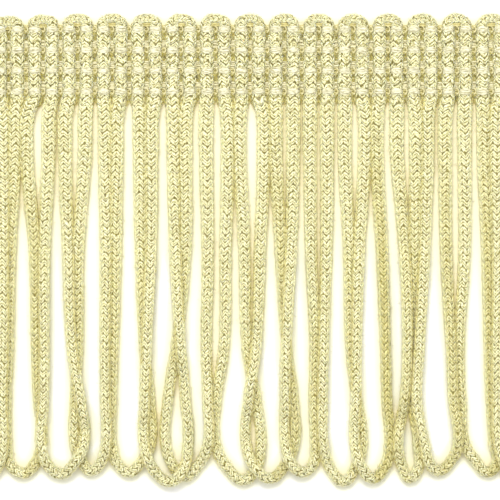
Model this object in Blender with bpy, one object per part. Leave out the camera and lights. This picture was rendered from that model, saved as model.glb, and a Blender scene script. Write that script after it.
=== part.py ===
"""Looped fringe trim, lying flat with its face up. Blender 4.5, metres, +Z up.

One knitted cord is laid up and down in a narrow heading, where four rows of chain stitch lock it. At the top
it makes a small loop over each pair of columns, and below it hangs in long loops, each from one pair to the
next.
+X runs along the trim and +Y from the fringe to the heading's top. The origin is at the bottom centre.
"""

import math
from collections import namedtuple

import bmesh
import bpy
from mathutils import Vector
from mathutils.geometry import interpolate_bezier

MM = 0.001

# The heading's columns of cord, two to each top loop
PAIR_COUNT = 17
COLUMN_PITCH = 3.79 * MM
PAIR_PITCH = 2 * COLUMN_PITCH

# The hanging cord, and the square strand of about the same section area that stands for it
CORD_DIAMETER = 2.4 * MM
STRAND_SIDE = 2.0 * MM

# Rows of chain stitch, whose places are counted up from where the cords leave the heading
ROW_COUNT = 4
ROW_PITCH = 4.55 * MM
LOWEST_ROW = 1.5 * MM
CHAIN_SIDE = 1.1 * MM
FIT_GAP = 0.3 * MM

# Heights of the heading above the surface it lies on
WEB_THICKNESS = 0.8 * MM
GROOVE_HEIGHT = 1.6 * MM
BLOCK_HEIGHT = 2.55 * MM
EDGE_HEIGHT = 2.35 * MM
CHAIN_DIP = 0.5 * MM

# Sizes along Y within the heading
GROOVE_HALF = 0.85 * MM
GROOVE_WALL = 0.4 * MM
LOWER_MARGIN = 0.6 * MM
UPPER_MARGIN = 1.75 * MM
TOP_LOOP_RISE = 1.1 * MM
TOP_LOOP_ROOT = 1.05 * MM
STRAND_ROOT = 0.5 * MM
ROOT_LIFT = 0.2 * MM

# Share of a column's pitch, from the groove beside it, at which its crown starts and ends
CROWN_START = 0.2
CROWN_END = 0.8

# The lengths below the heading at which the table of pairs gives the cords' places
DEPTHS = tuple(depth * MM for depth in (11.5, 33.5, 55.5, 66.5, 76.5))
SHOULDER_RISE = 2.2 * MM
END_STRAND_DROP = 81.5 * MM

# Each pair's two cords: how far they lie from the pair's middle, in mm, at each of DEPTHS, and the one on top
Pair = namedtuple("Pair", "left right upper")
PAIRS = (
    Pair((-1.8, -1.6, -1.4, -1.5, -1.6), (1.6, 1.3, 1.2, 1.1, 1.4), "left"),
    Pair((-1.4, -1.1, -1.0, -1.3, -1.1), (1.1, 0.3, -0.1, -0.6, -0.4), "left"),
    Pair((-3.2, -2.2, -1.6, -1.0, -0.3), (1.2, 0.6, 0.4, 0.2, -0.3), "right"),
    Pair((-2.8, -2.4, -1.1, 0.7, 1.5), (1.6, 0.5, 0.0, -0.6, -0.7), "left"),
    Pair((-1.9, -1.6, -1.5, -1.4, -1.3), (1.3, 1.0, 0.2, -0.1, -0.1), "left"),
    Pair((-1.8, -1.4, -0.4, 0.7, 0.8), (1.4, 1.1, 0.0, -0.3, -0.4), "right"),
    Pair((-1.8, -1.4, 0.0, 1.0, 1.5), (1.1, 1.1, -1.2, -2.9, -3.4), "left"),
    Pair((-2.1, -1.7, -2.0, -2.1, -2.2), (2.5, 2.2, 1.8, 0.5, 0.5), "left"),
    Pair((-2.1, -1.2, -0.6, 1.3, 2.4), (2.9, 2.2, 1.3, -0.3, -0.8), "right"),
    Pair((-1.8, -0.9, 0.6, 2.1, 2.4), (1.9, 1.5, 0.3, 0.0, 0.0), "right"),
    Pair((-2.0, -1.7, -1.2, -1.4, -0.9), (1.8, 1.6, 1.3, 1.1, 1.1), "right"),
    Pair((-1.9, -1.4, -0.5, 0.8, 1.9), (2.5, 1.7, 0.6, 0.5, 0.4), "right"),
    Pair((-2.4, -1.3, -0.5, -0.2, 0.0), (2.0, 3.3, 4.2, 3.5, 2.6), "right"),
    Pair((-1.8, -1.7, -2.0, -2.0, -0.9), (1.6, 0.8, -0.8, -1.3, 0.5), "right"),
    Pair((-2.6, -2.3, -1.7, -0.8, -0.4), (1.7, 1.7, 1.0, 0.9, 2.4), "left"),
    Pair((-2.1, -0.9, -0.4, 0.0, 0.7), (1.4, 1.4, 1.1, 1.1, 1.5), "right"),
    Pair((-2.0, -1.6, -1.2, -1.0, -1.2), (1.7, 1.5, 1.3, 1.5, 1.4), "left"),
)

# Each bottom loop, in mm: its shoulders from the middles of the pairs it joins, its lowest point from halfway
# between them, and that point's length below the heading
Loop = namedtuple("Loop", "start lowest end drop")
LOOPS = (
    Loop(2.0, 0.0, -2.0, 82.6),
    Loop(0.2, -0.6, -1.8, 82.7),
    Loop(1.0, 0.1, -0.9, 82.8),
    Loop(0.9, -0.9, -2.3, 82.1),
    Loop(1.0, 0.0, -1.3, 82.4),
    Loop(1.9, 1.3, 0.2, 84.4),
    Loop(-1.6, -3.2, -4.1, 83.4),
    Loop(3.1, 2.2, 1.1, 84.2),
    Loop(1.3, 0.7, -0.3, 83.7),
    Loop(1.3, 0.5, -1.1, 82.3),
    Loop(2.9, 1.7, 0.0, 84.4),
    Loop(1.9, 0.6, -0.8, 83.7),
    Loop(3.3, 1.1, -0.9, 83.7),
    Loop(1.3, -0.2, -1.3, 82.1),
    Loop(4.4, 2.9, 1.3, 82.4),
    Loop(3.0, 1.0, -1.0, 83.0),
)

# Where one cord crosses or leans on another, the upper one is raised by its own thickness, and slopes down
# from there by so much for each length along it
FULL_LIFT_WITHIN = 2.15 * MM
NO_LIFT_BEYOND = 2.45 * MM
SLOPE = 0.5

# Length of a strand's straight steps down its legs and round its bottom loop. Each is looked at in so many
# shares for a cord beneath it.
LEG_STEP = 8 * MM
ARC_STEP = 1.3 * MM
SHARES = 4
TOP_LOOP_STEPS = 6

# Length of a curve's handle as a share of its span, for round bends
ROUNDNESS = 0.37

FIRST_ROW = LOWEST_ROW + (ROW_COUNT - 1) * ROW_PITCH
HEADING_TOP = FIRST_ROW + UPPER_MARGIN
FULL_TOP = FIRST_ROW + TOP_LOOP_ROOT + TOP_LOOP_RISE + STRAND_SIDE / 2
FULL_DROP = max(loop.drop for loop in LOOPS) * MM + STRAND_SIDE / 2

# The line where the cords leave the heading, placed so that the origin is in the middle of the whole trim
EXIT_Y = (FULL_DROP - FULL_TOP) / 2

CREAM = (0.82, 0.77, 0.45, 1.0)
PALE_CREAM = (0.88, 0.85, 0.60, 1.0)


def clear_scene():
    for obj in list(bpy.data.objects):
        bpy.data.objects.remove(obj, do_unlink=True)


def new_collection(name):
    collection = bpy.data.collections.new(name)
    bpy.context.scene.collection.children.link(collection)
    return collection


def yarn_material(name, colour, roughness):
    material = bpy.data.materials.new(name)
    material.use_nodes = True
    shader = material.node_tree.nodes["Principled BSDF"]
    shader.inputs["Base Color"].default_value = colour
    shader.inputs["Roughness"].default_value = roughness
    shader.inputs["Metallic"].default_value = 0.0
    return material


def pair_middle(pair):
    return (pair - (PAIR_COUNT - 1) / 2) * PAIR_PITCH


def column_middle(pair, side):
    half = COLUMN_PITCH / 2
    return pair_middle(pair) + (half if side == "right" else -half)


def smooth_route(places, steps):
    """Points on a smooth curve through the places, with so many steps from each to the next."""
    spans = [end - start for start, end in zip(places, places[1:])]
    turns = [before.normalized() + after.normalized() for before, after in zip(spans, spans[1:])]
    ways = [way.normalized() for way in (spans[0], *turns, spans[-1])]
    route = []
    for index, (start, end) in enumerate(zip(places, places[1:])):
        reach = ROUNDNESS * spans[index].length
        leaves = start + reach * ways[index]
        arrives = end - reach * ways[index + 1]
        route += interpolate_bezier(start, leaves, arrives, end, steps[index] + 1)[:-1]
    route.append(places[-1])
    return route


def cord_plan(pair, side):
    """The cord's places in the plane, from its column's root down to its last place above the bottom loop."""
    column = column_middle(pair, side)
    plan = [Vector((column, EXIT_Y + STRAND_ROOT)), Vector((column, EXIT_Y - 2 * LOWER_MARGIN))]
    for place, depth in zip(getattr(PAIRS[pair], side), DEPTHS):
        plan.append(Vector((pair_middle(pair) + place * MM, EXIT_Y - depth)))
    return plan


def hanging_plans():
    """(name, places, number of the place that is lowest) of each strand, in order along the trim."""
    first = cord_plan(0, "left")
    first.append(Vector((first[-1].x, EXIT_Y - END_STRAND_DROP)))
    last = cord_plan(PAIR_COUNT - 1, "right")
    last.append(Vector((last[-1].x, EXIT_Y - END_STRAND_DROP)))
    plans = [("end_strand_left", first, len(first) - 1)]
    for number, loop in enumerate(LOOPS):
        left, right = pair_middle(number), pair_middle(number + 1)
        low = EXIT_Y - loop.drop * MM
        down = cord_plan(number, "right")
        down.append(Vector((left + loop.start * MM, low + SHOULDER_RISE)))
        up = cord_plan(number + 1, "left")
        up.append(Vector((right + loop.end * MM, low + SHOULDER_RISE)))
        lowest = Vector(((left + right) / 2 + loop.lowest * MM, low))
        plans.append((f"loop_{number + 1}", down + [lowest] + up[::-1], len(down)))
    plans.append(("end_strand_right", last, len(last) - 1))
    return plans


def steps_for(places):
    """The number of steps from each place to the next, with short ones round the bottom of a loop."""
    low = min(place.y for place in places) + 2 * SHOULDER_RISE
    steps = []
    for start, end in zip(places, places[1:]):
        step = ARC_STEP if min(start.y, end.y) < low else LEG_STEP
        steps.append(math.ceil((end - start).length / step))
    return steps


def cord_halves(plans):
    """The cord of each column, as (pair, side, number of its strand, places down to its lowest one)."""
    halves = []
    for number, (_, places, lowest) in enumerate(plans):
        if number > 0:
            halves.append((number - 1, "right", number, places[: lowest + 1]))
        if number == 0:
            halves.append((number, "left", number, places))
        elif number < len(plans) - 1:
            halves.append((number, "left", number, places[lowest:]))
    return halves


def lower_lines(plans, number):
    """The lines of the cords that lie low near this strand, its own ones only down to where they turn."""
    lines = []
    for pair, side, strand, places in cord_halves(plans):
        if PAIRS[pair].upper == side or abs(strand - number) > 2:
            continue
        line = smooth_route(places, steps_for(places))
        if strand == number:
            line = [point for point in line if point.y > EXIT_Y - DEPTHS[-1]]
        lines.append(line)
    return lines


def distance_to(point, line):
    best = math.inf
    for start, end in zip(line, line[1:]):
        along = end - start
        share = max(0.0, min(1.0, (point - start).dot(along) / along.length_squared))
        best = min(best, (point - start - share * along).length)
    return best


def lift_of(point, lines):
    """How far a cord at this point is raised by the cords that it lies on."""
    nearest = min((distance_to(point, line) for line in lines), default=math.inf)
    share = (NO_LIFT_BEYOND - nearest) / (NO_LIFT_BEYOND - FULL_LIFT_WITHIN)
    share = max(0.0, min(1.0, share))
    return CORD_DIAMETER * share * share * (3 - 2 * share)


def sloped(lifts, flats):
    """The lifts, with no steeper fall from one point to the next than a bent cord has."""
    lifts = list(lifts)
    steps = range(1, len(lifts))
    for index in steps:
        run = (flats[index] - flats[index - 1]).length
        lifts[index] = max(lifts[index], lifts[index - 1] - SLOPE * run)
    for index in reversed(steps):
        run = (flats[index] - flats[index - 1]).length
        lifts[index - 1] = max(lifts[index - 1], lifts[index] - SLOPE * run)
    return lifts


def strand_routes():
    """(name, points in space) of each hanging strand, with the upper cords raised over the lower ones."""
    plans = hanging_plans()
    routes = []
    for number, (name, places, lowest) in enumerate(plans):
        steps = steps_for(places)
        turn = sum(steps[:lowest]) * SHARES
        beneath = lower_lines(plans, number)
        fine = smooth_route(places, [count * SHARES for count in steps])
        needs = []
        for index, flat in enumerate(fine):
            goes_down = number > 0 and index <= turn
            pair = number - 1 if goes_down else number
            side = "right" if goes_down else "left"
            needs.append(lift_of(flat, beneath) if PAIRS[pair].upper == side else 0.0)
        flats = fine[::SHARES]
        lifts = [
            max(needs[max(0, index - SHARES) : index + SHARES + 1])
            for index in range(0, len(fine), SHARES)
        ]
        points = []
        for flat, lift in zip(flats, sloped(lifts, flats)):
            if flat.y > EXIT_Y - LOWER_MARGIN:
                lift = ROOT_LIFT
            points.append(Vector((flat.x, flat.y, STRAND_SIDE / 2 + lift)))
        routes.append((name, points))
    return routes


def square_tube(name, points, side, collection):
    """A four-sided tube of this side along the points, flat side down, as a mesh."""
    curve = bpy.data.curves.new(name, "CURVE")
    curve.dimensions = "3D"
    curve.twist_mode = "Z_UP"
    curve.bevel_depth = side / math.sqrt(2)
    curve.bevel_resolution = 0
    curve.use_fill_caps = True
    spline = curve.splines.new("POLY")
    spline.points.add(len(points) - 1)
    for target, point in zip(spline.points, points):
        target.co = (*point, 1.0)
        target.tilt = math.pi / 4
    drawn = bpy.data.objects.new(name, curve)
    collection.objects.link(drawn)
    bpy.context.view_layer.update()
    evaluated = drawn.evaluated_get(bpy.context.evaluated_depsgraph_get())
    mesh = bpy.data.meshes.new_from_object(evaluated)
    mesh.name = name
    place = drawn.matrix_world.copy()
    bpy.data.objects.remove(drawn)
    shape = bmesh.new()
    shape.from_mesh(mesh)
    bmesh.ops.remove_doubles(shape, verts=shape.verts, dist=0.001 * MM)
    bmesh.ops.recalc_face_normals(shape, faces=shape.faces)
    shape.to_mesh(mesh)
    shape.free()
    tube = bpy.data.objects.new(name, mesh)
    tube.matrix_world = place
    collection.objects.link(tube)
    return tube


def heading_lines():
    """(y, height of the columns' crowns there) across the heading, from its lower edge to its upper one."""
    lines = [(-LOWER_MARGIN, EDGE_HEIGHT)]
    for row in range(ROW_COUNT):
        middle = LOWEST_ROW + row * ROW_PITCH
        below = EDGE_HEIGHT if row == 0 else BLOCK_HEIGHT
        above = EDGE_HEIGHT if row == ROW_COUNT - 1 else BLOCK_HEIGHT
        lines += [
            (middle - GROOVE_HALF - GROOVE_WALL, below),
            (middle - GROOVE_HALF, GROOVE_HEIGHT),
            (middle + GROOVE_HALF, GROOVE_HEIGHT),
            (middle + GROOVE_HALF + GROOVE_WALL, above),
        ]
    return lines + [(HEADING_TOP, EDGE_HEIGHT)]


def heading_strip(collection):
    """The columns of cord side by side, as ribs on a thin web, with a groove for each row of chain stitch."""
    columns = 2 * PAIR_COUNT
    across = [0.0]
    crown = [0.0]
    for column in range(columns):
        across += [column + CROWN_START, column + CROWN_END, column + 1.0]
        crown += [1.0, 1.0, 0.0]
    lines = heading_lines()
    shape = bmesh.new()
    bmesh.ops.create_grid(
        shape, x_segments=len(across) - 1, y_segments=len(lines) - 1, size=1.0
    )
    for vertex in shape.verts:
        i = round((vertex.co.x + 1) / 2 * (len(across) - 1))
        j = round((vertex.co.y + 1) / 2 * (len(lines) - 1))
        y, height = lines[j]
        vertex.co.x = (across[i] - columns / 2) * COLUMN_PITCH
        vertex.co.y = EXIT_Y + y
        vertex.co.z = WEB_THICKNESS + (height - WEB_THICKNESS) * crown[i]
    rim = [edge for edge in shape.edges if edge.is_boundary]
    lowered = bmesh.ops.extrude_edge_only(shape, edges=rim)["geom"]
    for vertex in (part for part in lowered if isinstance(part, bmesh.types.BMVert)):
        vertex.co.z = 0.0
    bmesh.ops.holes_fill(shape, edges=[edge for edge in shape.edges if edge.is_boundary])
    bmesh.ops.recalc_face_normals(shape, faces=shape.faces)
    mesh = bpy.data.meshes.new("fringe")
    shape.to_mesh(mesh)
    shape.free()
    strip = bpy.data.objects.new("fringe", mesh)
    collection.objects.link(strip)
    return strip


def top_loop(pair, collection):
    """The small loop that joins a pair's two columns above the first row of chain stitch."""
    points = []
    for step in range(TOP_LOOP_STEPS + 1):
        angle = math.pi * (1 - step / TOP_LOOP_STEPS)
        points.append(
            Vector((
                pair_middle(pair) + COLUMN_PITCH / 2 * math.cos(angle),
                EXIT_Y + FIRST_ROW + TOP_LOOP_ROOT + TOP_LOOP_RISE * math.sin(angle),
                STRAND_SIDE / 2 + ROOT_LIFT,
            ))
        )
    return square_tube(f"top_loop_{pair + 1}", points, STRAND_SIDE, collection)


def fringe(parts, helpers):
    """The whole cord: the heading strip, with the top loops and the hanging strands fused to it."""
    for pair in range(PAIR_COUNT):
        top_loop(pair, helpers)
    for name, points in strand_routes():
        square_tube(name, points, STRAND_SIDE, helpers)
    for obj in helpers.objects:
        obj.hide_render = True
        obj.display_type = "WIRE"
    strip = heading_strip(parts)
    join = strip.modifiers.new("join_strands", "BOOLEAN")
    join.operation = "UNION"
    join.operand_type = "COLLECTION"
    join.collection = helpers
    join.solver = "EXACT"
    return strip


def chain_row(number, parts):
    """One row of chain stitch, in its groove: it lies over each column and dips between them."""
    y = EXIT_Y + FIRST_ROW - (number - 1) * ROW_PITCH
    high = GROOVE_HEIGHT + FIT_GAP + CHAIN_SIDE / 2
    columns = 2 * PAIR_COUNT
    shares = [(0.0, 1.0)]
    for column in range(columns):
        shares += [(column + CROWN_START, 0.0), (column + CROWN_END, 0.0), (column + 1.0, 1.0)]
    points = [
        Vector(((share - columns / 2) * COLUMN_PITCH, y, high - CHAIN_DIP * dip))
        for share, dip in shares
    ]
    return square_tube(f"chain_row_{number}", points, CHAIN_SIDE, parts)


def main():
    clear_scene()
    parts = new_collection("fringe_trim")
    helpers = new_collection("strands_to_join")
    cord_yarn = yarn_material("cord_yarn", CREAM, 0.55)
    chain_thread = yarn_material("chain_thread", PALE_CREAM, 0.45)
    fringe(parts, helpers).data.materials.append(cord_yarn)
    for number in range(1, ROW_COUNT + 1):
        chain_row(number, parts).data.materials.append(chain_thread)


main()
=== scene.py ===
"""Looped fringe trim lying on a white table, seen from straight above.

The cord is modelled stitch by stitch: a thin knitted tube whose stitches stand in V shapes round it.
It is one line from end to end, up and down the heading's columns and round the loops. The chain
stitches are threads.
"""

import math
from collections import namedtuple

import bpy
import numpy as np
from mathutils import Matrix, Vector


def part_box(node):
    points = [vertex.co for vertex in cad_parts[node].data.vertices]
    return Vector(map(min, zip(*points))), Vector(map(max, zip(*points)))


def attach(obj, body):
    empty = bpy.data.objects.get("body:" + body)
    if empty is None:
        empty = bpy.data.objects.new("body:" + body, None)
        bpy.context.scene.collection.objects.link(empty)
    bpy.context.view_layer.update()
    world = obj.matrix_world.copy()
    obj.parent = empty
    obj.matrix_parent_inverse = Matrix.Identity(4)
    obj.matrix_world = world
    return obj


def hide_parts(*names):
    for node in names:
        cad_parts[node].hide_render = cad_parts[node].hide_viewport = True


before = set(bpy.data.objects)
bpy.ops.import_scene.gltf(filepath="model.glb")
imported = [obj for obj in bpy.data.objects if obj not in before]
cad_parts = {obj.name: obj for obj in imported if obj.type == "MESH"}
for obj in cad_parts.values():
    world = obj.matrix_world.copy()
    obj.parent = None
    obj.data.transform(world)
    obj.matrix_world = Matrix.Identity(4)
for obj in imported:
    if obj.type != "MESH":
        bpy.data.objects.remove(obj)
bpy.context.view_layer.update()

MM = 0.001
BODY = "root"
SEED = 11

# The heading: columns of cord in pairs, and rows of chain stitch counted from the top
PAIR_COUNT = 17
COLUMN_PITCH = 3.79 * MM
PAIR_PITCH = 2 * COLUMN_PITCH
ROW_NAMES = ("chain_row_1", "chain_row_2", "chain_row_3", "chain_row_4")
ROW_YS = [float(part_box(name)[0][1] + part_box(name)[1][1]) / 2 for name in ROW_NAMES]
LOWEST_ROW = 1.5 * MM
EXIT_Y = ROW_YS[-1] - LOWEST_ROW

# The cord: its radius over the stitches, the half width with which it leaves the heading and the length
# over which it rounds off, the depth of the grooves between stitches, their length, the wales round the
# cord, and how steep the arms of a V are, in courses
CORD_RADIUS = 1.28 * MM
FLAT_HALF_WIDTH = 1.75 * MM
FLAT_LENGTH = 52 * MM
GROOVE = 0.42 * MM
COURSE = 1.5 * MM
WALES = 5
ARMS = 2 * WALES
RISE = 0.62

# In the heading the cord is pressed flat, its back against its neighbours', and pinched under each chain
# stitch. Boxiness is the power of the sine and cosine: the less it is, the squarer the cord
BLOCK_HALF_WIDTH = 1.62 * MM
BLOCK_HALF_HEIGHT = 1.05 * MM
PINCH_HALF_WIDTH = 1.35 * MM
PINCH_HALF_HEIGHT = 0.8 * MM
PINCH_REACH = 0.8 * MM
BACK_HALF_WIDTH = 2.4 * MM
BACK_FADE = 0.6
PRESSED_GROOVE = 0.7
BOXINESS = 0.75
HANGING_BOXINESS = 0.88
COLUMN_COURSES = 10
HEADING_HEIGHT = 1.25 * MM
FLARE = 2.8 * MM

# Top loops: the first three stand lower
TOP_RISE = 2.2 * MM
TOP_NARROWING = 0.9
TOP_HALF_WIDTH = 1.1 * MM
TOP_COURSES = 7
TOP_STEPS = 48
TOP_BULGE = 0.16
TOP_SQUARENESS = 0.7
LOWERED_TOPS = {0: 1.5 * MM, 1: 0.8 * MM, 2: 0.3 * MM}

# The lengths below the heading at which the table of pairs gives the cords' places
DEPTHS = tuple(depth * MM for depth in (11.5, 33.5, 55.5, 66.5, 76.5))
GATHER_DEPTH = 3.0 * MM
GATHERED = 0.8
PRESSED = 0.75 * MM
WIDEST_SLIT = 1.0 * MM
SETTLING_PASSES = 3
SHOULDER_RISE = 2.2 * MM
END_STRAND_DROP = 81.5 * MM

# Each pair's two cords: how far they lie from the pair's middle, in mm, at each of DEPTHS, and which of
# them lies on top
Pair = namedtuple("Pair", "left right upper")
PAIRS = (
    Pair((-1.8, -1.6, -1.4, -1.5, -1.6), (1.6, 1.3, 1.2, 1.1, 1.4), "left"),
    Pair((-1.4, -1.1, -1.0, -1.3, -1.1), (1.1, 0.3, -0.1, -0.6, -0.4), "left"),
    Pair((-3.2, -2.2, -1.6, -1.0, -0.3), (1.2, 0.6, 0.4, 0.2, -0.3), "right"),
    Pair((-2.8, -2.4, -1.1, 0.7, 1.5), (1.6, 0.5, 0.0, -0.6, -0.7), "left"),
    Pair((-1.9, -1.6, -1.5, -1.4, -1.3), (1.3, 1.0, 0.2, -0.1, -0.1), "left"),
    Pair((-1.8, -1.4, -0.4, 0.7, 0.8), (1.4, 1.1, 0.0, -0.3, -0.4), "right"),
    Pair((-1.8, -1.4, 0.0, 1.0, 1.5), (1.1, 1.1, -1.2, -2.9, -3.4), "left"),
    Pair((-2.1, -1.7, -2.0, -2.1, -2.2), (2.5, 2.2, 1.8, 0.5, 0.5), "left"),
    Pair((-2.1, -1.2, -0.6, 1.3, 2.4), (2.9, 2.2, 1.3, -0.3, -0.8), "right"),
    Pair((-1.8, -0.9, 0.6, 2.1, 2.4), (1.9, 1.5, 0.3, 0.0, 0.0), "right"),
    Pair((-2.0, -1.7, -1.2, -1.4, -0.9), (1.8, 1.6, 1.3, 1.1, 1.1), "right"),
    Pair((-1.9, -1.4, -0.5, 0.8, 1.9), (2.5, 1.7, 0.6, 0.5, 0.4), "right"),
    Pair((-2.4, -1.3, -0.5, -0.2, 0.0), (2.0, 3.3, 4.2, 3.5, 2.6), "right"),
    Pair((-1.8, -1.7, -2.0, -2.0, -0.9), (1.6, 0.8, -0.8, -1.3, 0.5), "right"),
    Pair((-2.6, -2.3, -1.7, -0.8, -0.4), (1.7, 1.7, 1.0, 0.9, 2.4), "left"),
    Pair((-2.1, -0.9, -0.4, 0.0, 0.7), (1.4, 1.4, 1.1, 1.1, 1.5), "right"),
    Pair((-2.0, -1.6, -1.2, -1.0, -1.2), (1.7, 1.5, 1.3, 1.5, 1.4), "left"),
)

# Each bottom loop, in mm: its shoulders from the middles of the pairs it joins, its lowest point from
# halfway between them, and that point's length below the heading
Loop = namedtuple("Loop", "start lowest end drop")
LOOPS = (
    Loop(2.0, 0.0, -2.0, 82.6),
    Loop(0.2, -0.6, -1.8, 82.7),
    Loop(1.0, 0.1, -0.9, 82.8),
    Loop(0.9, -0.9, -2.3, 82.1),
    Loop(1.0, 0.0, -1.3, 82.4),
    Loop(1.9, 1.3, 0.2, 84.4),
    Loop(-1.6, -3.2, -4.1, 83.4),
    Loop(3.1, 2.2, 1.1, 84.2),
    Loop(1.3, 0.7, -0.3, 83.7),
    Loop(1.3, 0.5, -1.1, 82.3),
    Loop(2.9, 1.7, 0.0, 84.4),
    Loop(1.9, 0.6, -0.8, 83.7),
    Loop(3.3, 1.1, -0.9, 83.7),
    Loop(1.3, -0.2, -1.3, 82.1),
    Loop(4.4, 2.9, 1.3, 82.4),
    Loop(3.0, 1.0, -1.0, 83.0),
)

# Where one cord lies on another it is raised: soft cords sink into each other a little
CONTACT = 2.2 * MM
SLOPE = 0.4
EASING = 1.5 * MM
ROUNDNESS = 0.37
SPACING = 0.25 * MM
LOWEST_YARN = 0.03 * MM

# How near another cord is when it covers a cord or lies beside it, and the share of that over which
# this fades
COVER_REACH = 2.7 * MM
COVER_FADE = 0.5
BESIDE_REACH = 4.2 * MM
BESIDE_FADE = 0.25

# Painted shade: yarn deep between cords and under them is painted golden and darker, for light that reaches
# it only through other yarn. Places round the cord are shares of its half width, across it, and of its half
# height, up from its middle
FLANK = 0.4
FLANK_FADE = 0.5
FLANK_START = 3
FACING = 0.55
FACING_FADE = 0.3
FACING_PAINTED_SHADE = 0.7
COVERED_PAINTED_SHADE = 0.95
COVERED_FAR_SIDE = 0.45
COVERED_ASIDE = 0.6

# Painted shade, darker and golden, on cords that lie turned with more of their yarn in shade. The length
# after them is how far below the heading this shows in full
SHADED_CORDS = {
    (2, "left"): 0.25,
    (9, "left"): 0.3,
    (12, "left"): 0.5,
    (12, "right"): 0.15,
    (14, "left"): 0.3,
    (15, "left"): 0.4,
}
SHADED_CORD_DEPTH = 35 * MM

# Stitches show less where the cord is pressed, on the outside of the top loops and between cords
SMOOTH_PRESSED = 1.2
SMOOTH_TOP = 2
SMOOTH_BETWEEN = 0.3

# The cord turns about its own line in a random walk, in radians, with a step every so many courses
TURN_COURSES = 12.0
TURN_STEP = 0.45

# Each stitch is shifted along the cord, in courses, and swollen at random
STITCH_SHIFT = 0.08
STITCH_SWELLING = 0.09

# The mesh of the cord: rows to each course of stitches, columns to each arm of a V, and pieces
ROW_PHASES = (0.0, 0.24, 0.5, 0.76)
COURSE_ROWS = len(ROW_PHASES)
ARM_COLUMNS = 3
ARM_HEIGHTS = np.array([
    (0.0, 0.3, 0.3),
    (0.6, 1.0, 1.0),
    (0.55, 0.8, 0.8),
    (0.6, 1.0, 1.0),
])
PIECES = 4

# What the material reads at the closed ends of each piece of the cord
END_SHARES = {"groove_shade": 1.0, "gold": 1.0, "smooth": 1.0, "heading": 0.0, "edge": 0.0, "between": 0.0}

# Fine filaments that stand off the cord. Their lengths are in mm, and the points of one are shares of
# how far it stands off, of its length and of its bend
FUZZ_COUNT = 14000
FUZZ_PIECES = 2
FUZZ_SEED = SEED + 100
FUZZ_RADIUS = 0.028 * MM
FUZZ_SIDES = 3
FUZZ_ANGLE = 0.2
FUZZ_ANGLE_SPREAD = 0.45
FUZZ_ROOT = 0.9
FUZZ_LENGTHS = (0.35, 1.1)
FUZZ_STAND = 0.22
FUZZ_STANDS = (0.05, 0.7)
FUZZ_CLEARANCE = 0.12
FUZZ_BEND = 0.25
FUZZ_TIPS = (-0.3, 1.1)
FUZZ_POINTS = ((0.75, 0.3, 0.5), (1.0, 0.65, 1.0))
FUZZ_TIP_BEND = 0.6
# A little painted groove shade on the filaments
FUZZ_GROOVE_SHADE = 0.15
LOWEST_FUZZ = 0.05 * MM

# Chain threads: plies that lie over each column as a satin pad, and gather to pass between two columns
THREAD_SIDES = 6
PLY_COUNT = 5
PLY_RADIUS = 0.19 * MM
PLY_THIN = 0.8
PLY_SWELLING = 0.2
PLY_SPREAD = 0.3 * MM
PLY_GATHERED = 0.2
PLY_WANDER = 0.04 * MM
PLY_LOOSENESS = 0.06 * MM
PLY_ARCH = 0.05 * MM
PLY_STEPS = 10
PLY_LOW = 0.7 * MM
PAD_DROP = 0.2 * MM
PAD_TOP = 2.3 * MM
PAD_START = 0.08
PAD_SHOULDER = 0.5

# The small link in each gap between two columns
LINK_RADIUS = 0.15 * MM
LINK_WIDTH = 0.38 * MM
LINK_LENGTH = 0.6 * MM
LINK_HEIGHT = 1.9 * MM
LINK_TURN = 2.0
LINK_STEPS = 9

# Threads that pass behind the columns, below the pads, between two rows and under the top loops
BACK_COUNT = 4
BACK_RADIUS = 0.22 * MM
BACK_SPREAD = 0.45 * MM
BACK_HEIGHT = 0.25 * MM
BACK_STEPS = 3
BACK_WAVE = 0.05 * MM
FILLS = (-0.3 * MM, 0.3 * MM)
TOP_FILLS = (0.75 * MM,)
FILL_HEIGHT = 0.9 * MM
FILL_RADIUS = 0.25 * MM
BRIDGES = (0.75 * MM, 1.15 * MM, 1.55 * MM, 1.95 * MM)
BRIDGE_HEIGHT = 1.15 * MM
BRIDGE_RADIUS = 0.25 * MM
BRIDGE_WAVE = 0.06 * MM
BRIDGE_RIPPLE = 0.15 * MM
ARCH_FILLS = (0.85 * MM, 1.25 * MM)
ARCH_FILL_HEIGHT = 1.6 * MM
ARCH_FILL_HALF_WIDTH = 1.0 * MM

# Painted golden shade on each kind of thread: the deeper it lies among the yarn, the more
PLY_PAINTED_SHADE = 0.0
BRIDGE_PAINTED_SHADE = 0.35
LINK_PAINTED_SHADE = 0.7
FULL_PAINTED_SHADE = 1.0

# Painted shade by depth, from the lit crests of the stitches to the grooves: for yarn in the open, and
# golden for yarn deep among other yarn
CREAM_WITH_GROOVE_SHADE = ((0.0, (0.89, 0.87, 0.56)), (0.35, (0.54, 0.49, 0.19)), (1.0, (0.25, 0.21, 0.04)))
GOLD_PAINTED_DEEP_SHADE = ((0.0, (0.75, 0.68, 0.27)), (0.4, (0.57, 0.50, 0.14)), (1.0, (0.33, 0.28, 0.04)))
GROOVE_SHADE_STRENGTH = 0.3

# Painted shade in the grooves, which also sets the bump: the lines that the material draws between
# stitches, and the dots where arms meet. Noise shifts them and breaks them up. Lengths are in arms round
# the cord, and in courses along it
LINE_SHIFT = 0.5
LINE_BROKEN_BELOW = 0.42
LINE_UNEVENNESS = 0.4
LINE_FADE = 0.07
LINE_DEPTH = 0.9
PLY_LINE_FADE = 0.13
PLY_LINE_DEPTH = 0.72
DOT_TIGHTNESS = (3.2, 4.6)
DOT_BROKEN = 0.6
DOT_EDGE = (0.8, 1.2)

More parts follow.
